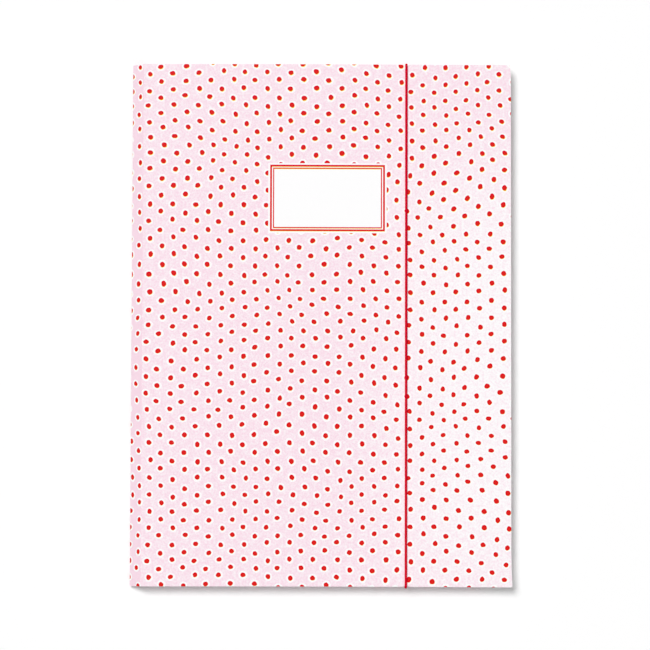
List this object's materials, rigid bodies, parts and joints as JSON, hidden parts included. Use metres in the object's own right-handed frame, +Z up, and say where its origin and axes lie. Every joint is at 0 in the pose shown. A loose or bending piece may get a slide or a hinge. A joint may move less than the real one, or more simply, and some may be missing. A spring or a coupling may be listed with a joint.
{
  "type": "document folder",
  "caption": "Card document folder with a hinged front cover, gusseted inner flaps that hold the papers, and a round elastic cord that keeps it shut.",
  "frame": {"origin": "middle of the folder's underside as it lies shut on its back panel", "axes": "+Y up the cover along its height, +X across it from the spine to the fore-edge, +Z up through its thickness, out of the front cover"},
  "size_m": [0.233, 0.3218, 0.0088],
  "materials": {
    "printed_card": "smooth folder card, pale pink print with small red dots in white rings, bare white inside",
    "elastic": "red braided cord",
    "end_bar": "plated, crimped"
  },
  "bodies": {
    "back": {"back_panel_with_flaps": "printed_card", "elastic_band": "elastic", "elastic_end_bar_top": "end_bar", "elastic_end_bar_bottom": "end_bar"},
    "spine_strip": {"spine": "printed_card"},
    "cover": {"front_cover": "printed_card"}
  },
  "joints": [
    {"name": "back_crease", "type": "hinge", "parent": "back", "child": "spine_strip", "pos_m": [-0.1165, 0, 0], "axis": [0, -1, 0], "range_deg": [0, 135.77]},
    {"name": "front_crease", "type": "hinge", "parent": "spine_strip", "child": "cover", "pos_m": [-0.109, 0, 0.0073], "axis": [0, -1, 0], "range_deg": [0, 44.23]}
  ],
  "couplings": [
    {"joint": "front_crease", "follows": "back_crease", "ratio": 0.32573}
  ]
}
